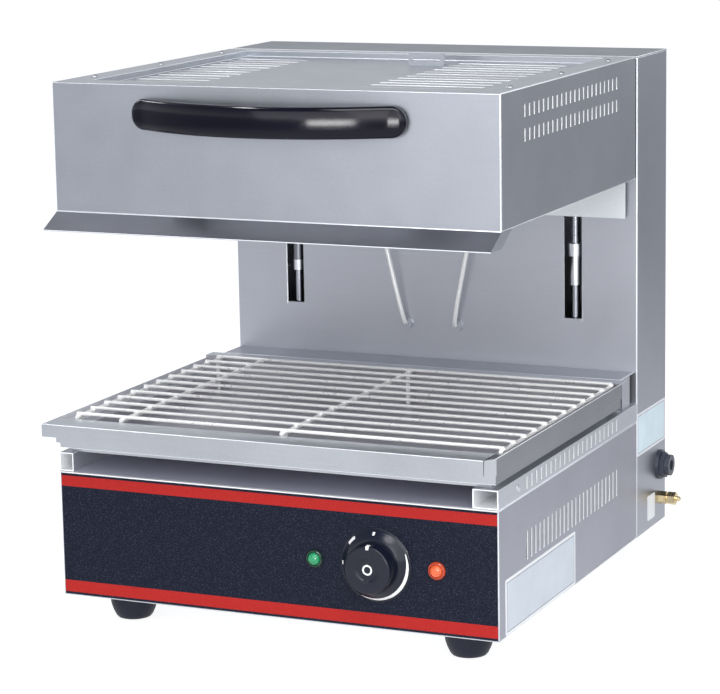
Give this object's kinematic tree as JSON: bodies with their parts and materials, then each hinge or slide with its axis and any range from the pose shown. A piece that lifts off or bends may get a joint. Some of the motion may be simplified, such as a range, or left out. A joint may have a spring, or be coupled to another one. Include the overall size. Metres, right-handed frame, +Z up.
{
  "type": "salamander grill",
  "caption": "Countertop electric salamander grill with a height-adjustable heated hood on a rear column, pull-out drip tray, wire rack and dial control.",
  "frame": {"origin": "on the floor, under the middle of the part's outline", "axes": "+X to the right, +Y to the back, +Z up; the control panel faces -Y"},
  "size_m": [0.4814, 0.5214, 0.53],
  "materials": {
    "panel_steel": "satin",
    "bright_steel": "satin",
    "tray_steel": "satin",
    "rack_wire": "polished",
    "guide_steel": "polished",
    "zinc_steel": "satin",
    "front_film": "satin",
    "handle_plastic": "gloss",
    "knob_plastic": "satin",
    "foot_rubber": "matte",
    "strut_paint": "satin",
    "brass": "satin",
    "bush_bronze": "satin",
    "element_sheath": "matte",
    "insulation": "matte",
    "lead_sleeve": "satin",
    "green_lens": "gloss",
    "orange_lens": "gloss",
    "switch_body": "matte",
    "gland_grey": "satin",
    "screw_steel": "polished"
  },
  "bodies": {
    "base": {"base_bottom": "panel_steel", "base_side_left": "panel_steel", "base_side_right": "panel_steel", "front_panel": "panel_steel", "front_overlay": "front_film", "base_deck": "bright_steel", "feet": "foot_rubber", "foot_screws": "screw_steel", "rail_left": "bright_steel", "rail_right": "bright_steel", "rail_screws": "screw_steel", "rear_ledge": "bright_steel", "column_front_plate": "panel_steel", "column_side_left": "panel_steel", "column_side_right": "panel_steel", "column_floor": "panel_steel", "column_rear_cover": "panel_steel", "rear_cover_screws": "screw_steel", "column_top": "bright_steel", "guide_rods": "guide_steel", "rod_end_blocks": "zinc_steel", "stop_sleeves": "guide_steel", "strut_tubes": "strut_paint", "thermostat_body": "switch_body", "terminal_block": "switch_body", "inner_wires": "lead_sleeve", "lead_grommets": "foot_rubber", "lamp_holders": "guide_steel", "green_lens": "green_lens", "orange_lens": "orange_lens", "cable_gland": "gland_grey", "gland_locknut": "gland_grey", "earth_stud": "brass", "earth_nuts": "brass"},
    "tray": {"drip_tray": "tray_steel"},
    "rack": {"wire_rack": "rack_wire", "rack_legs": "rack_wire"},
    "knob": {"knob_grip": "knob_plastic", "knob_skirt": "knob_plastic", "control_shaft": "guide_steel"},
    "hood": {"hood_front_panel": "panel_steel", "hood_side_left": "panel_steel", "hood_side_right": "panel_steel", "hood_top": "bright_steel", "top_bracket": "bright_steel", "hood_top_screws": "screw_steel", "carriage_plate": "bright_steel", "carriage_arm_left": "zinc_steel", "carriage_arm_right": "zinc_steel", "guide_bushes": "bush_bronze", "carriage_crossbar": "zinc_steel", "strut_rods": "guide_steel", "reflector": "bright_steel", "heating_elements": "element_sheath", "element_hangers": "panel_steel", "insulation_board": "insulation", "lead_box": "panel_steel", "hood_handle": "handle_plastic", "handle_screws": "screw_steel", "hood_leads": "lead_sleeve"}
  },
  "joints": [
    {"name": "hood_slide", "type": "slide", "parent": "base", "child": "hood", "axis": [0, 0, 1], "range_m": [-0.13, 0], "deforming": ["hood_leads"]},
    {"name": "tray_slide", "type": "slide", "parent": "base", "child": "tray", "axis": [0, -1, 0], "range_m": [0, 0.2]},
    {"name": "rack_lift", "type": "slide", "parent": "tray", "child": "rack", "axis": [0, 0, 1], "range_m": [0, 0.03]},
    {"name": "knob_turn", "type": "hinge", "parent": "base", "child": "knob", "pos_m": [0.09575, -0.22525, 0.0915], "axis": [0, 1, 0], "range_deg": [0, 300]}
  ]
}
